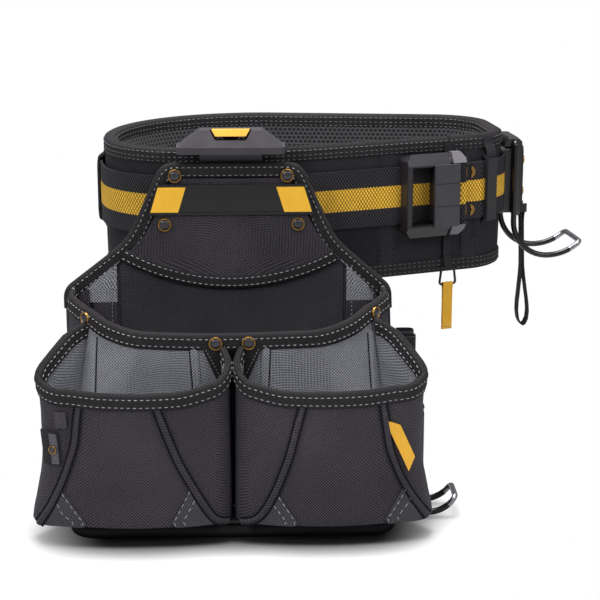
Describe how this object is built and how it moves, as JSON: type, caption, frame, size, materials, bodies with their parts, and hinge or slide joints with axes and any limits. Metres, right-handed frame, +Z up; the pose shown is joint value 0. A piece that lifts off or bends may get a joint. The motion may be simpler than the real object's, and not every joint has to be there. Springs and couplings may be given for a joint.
{
  "type": "tool belt",
  "caption": "Padded carpenter's tool belt with a side-release buckle, a clip-on framing pouch on a folding wire stand and a clip-on wire hammer holder.",
  "frame": {"origin": "centre of the waist opening, at the webbing's mid-height", "axes": "+X to the right as seen from the front, +Y from the pouch through the belt to its back, +Z up"},
  "size_m": [0.4791, 0.3873, 0.3182],
  "materials": {
    "padded_cloth": "matte",
    "binding_tape": "matte",
    "spacer_mesh": "matte",
    "webbing": "matte",
    "black_nylon": "matte",
    "grey_nylon": "matte",
    "black_tape": "matte",
    "yellow_ribbon": "matte",
    "black_plastic": "matte",
    "grey_plastic": "satin",
    "gloss_black": "gloss",
    "yellow_plastic": "satin",
    "black_rubber": "matte",
    "stiff_board": "matte",
    "coated_steel": "satin",
    "bare_steel": "satin",
    "brass": "satin"
  },
  "bodies": {
    "belt": {"belt_pad": "padded_cloth", "pad_lining": "spacer_mesh", "pad_binding_top": "binding_tape", "pad_binding_bottom": "binding_tape", "pad_end_patches": "black_tape", "webbing": "webbing", "webbing_fold": "webbing", "anchor_eyelets": "brass", "belt_keepers": "black_tape", "left_keeper": "black_tape", "label_keeper": "black_tape", "keeper_label": "black_rubber", "front_hub": "black_plastic", "side_hub": "black_plastic", "buckle_male": "black_plastic", "pull_strap": "black_tape"},
    "buckle_half": {"buckle_frame": "black_plastic", "buckle_cover": "grey_plastic"},
    "arm_upper": {"buckle_arm_upper": "grey_plastic"},
    "arm_lower": {"buckle_arm_lower": "grey_plastic"},
    "pull_ring": {"pull_ring": "coated_steel"},
    "pull_tab": {"pull_tab": "yellow_ribbon"},
    "hammer_holder": {"holder_clip": "gloss_black", "holder_panel": "black_nylon", "holder_rivets": "brass", "tether_anchor": "coated_steel"},
    "hammer_hook": {"holder_hook": "coated_steel", "holder_hook_tip": "bare_steel"},
    "tether": {"tether_loop": "black_tape"},
    "pouch": {"back_panel": "black_nylon", "back_binding": "binding_tape", "back_lining": "black_nylon", "label_panel": "black_nylon", "label_hem": "binding_tape", "label_plate": "gloss_black", "label_inserts": "yellow_plastic", "clip_body": "black_plastic", "button_springs": "bare_steel", "main_pocket": "grey_nylon", "main_lip_binding": "binding_tape", "lower_pocket_left": "black_nylon", "lower_pocket_right": "black_nylon", "lower_binding_left": "binding_tape", "lower_binding_right": "binding_tape", "corner_patches": "grey_nylon", "base_panel": "stiff_board", "pouch_rivets": "brass", "tape_tab": "black_tape", "piping": "binding_tape", "side_label": "yellow_plastic", "tool_loops": "black_tape", "hook_bracket": "coated_steel", "small_rivets": "brass", "stand_hinges": "coated_steel"},
    "release_button": {"clip_button": "yellow_plastic", "clip_latch": "black_plastic"},
    "stand": {"stand_wire": "coated_steel", "stand_sleeve": "black_rubber"},
    "side_hook": {"pouch_hook": "coated_steel", "pouch_hook_tip": "bare_steel"}
  },
  "joints": [
    {"name": "buckle_slide", "type": "slide", "parent": "belt", "child": "buckle_half", "axis": [-0.9166, -0.3998, 0], "range_m": [0, 0.04]},
    {"name": "arm_upper_press", "type": "hinge", "parent": "belt", "child": "arm_upper", "pos_m": [0.13779, -0.05859, 0.0294], "axis": [0.3998, -0.9166, 0], "range_deg": [0, 4.5], "stiffness_Nm_per_rad": 4},
    {"name": "arm_lower_press", "type": "hinge", "parent": "belt", "child": "arm_lower", "pos_m": [0.13779, -0.05859, -0.0294], "axis": [0.3998, -0.9166, 0], "range_deg": [-4.5, 0], "stiffness_Nm_per_rad": 4},
    {"name": "pull_ring_swing", "type": "hinge", "parent": "belt", "child": "pull_ring", "pos_m": [0.1301, -0.05496, -0.0689], "axis": [-0.9166, -0.3998, 0], "range_deg": [0, 95]},
    {"name": "pull_tab_swing", "type": "hinge", "parent": "pull_ring", "child": "pull_tab", "pos_m": [0.1301, -0.05496, -0.0839], "axis": [-0.9166, -0.3998, 0], "range_deg": [-50, 60]},
    {"name": "holder_lift", "type": "slide", "parent": "belt", "child": "hammer_holder", "axis": [0, 0, 1], "range_m": [0, 0.058]},
    {"name": "hammer_hook_fold", "type": "hinge", "parent": "hammer_holder", "child": "hammer_hook", "pos_m": [0.19168, 0.02425, 0.0349], "axis": [0.1282, -0.9918, 0], "range_deg": [0, 90]},
    {"name": "tether_swing", "type": "hinge", "parent": "hammer_holder", "child": "tether", "pos_m": [0.20479, 0.02191, -0.0279], "axis": [0.1282, -0.9918, 0], "range_deg": [-8, 50]},
    {"name": "pouch_lift", "type": "slide", "parent": "belt", "child": "pouch", "axis": [0, 0, 1], "range_m": [0, 0.058]},
    {"name": "release_press", "type": "slide", "parent": "pouch", "child": "release_button", "axis": [0, 0, -1], "range_m": [0, 0.003], "stiffness_N_per_m": 1500, "springref_m": -0.0005, "deforming": ["button_springs"]},
    {"name": "stand_fold", "type": "hinge", "parent": "pouch", "child": "stand", "pos_m": [-0.05966, -0.1311, -0.2445], "axis": [0.9994, 0.0357, 0], "range_deg": [0, 268]},
    {"name": "side_hook_fold", "type": "hinge", "parent": "pouch", "child": "side_hook", "pos_m": [0.09731, -0.18353, -0.158], "axis": [0.0357, -0.9994, 0], "range_deg": [0, 90]}
  ]
}
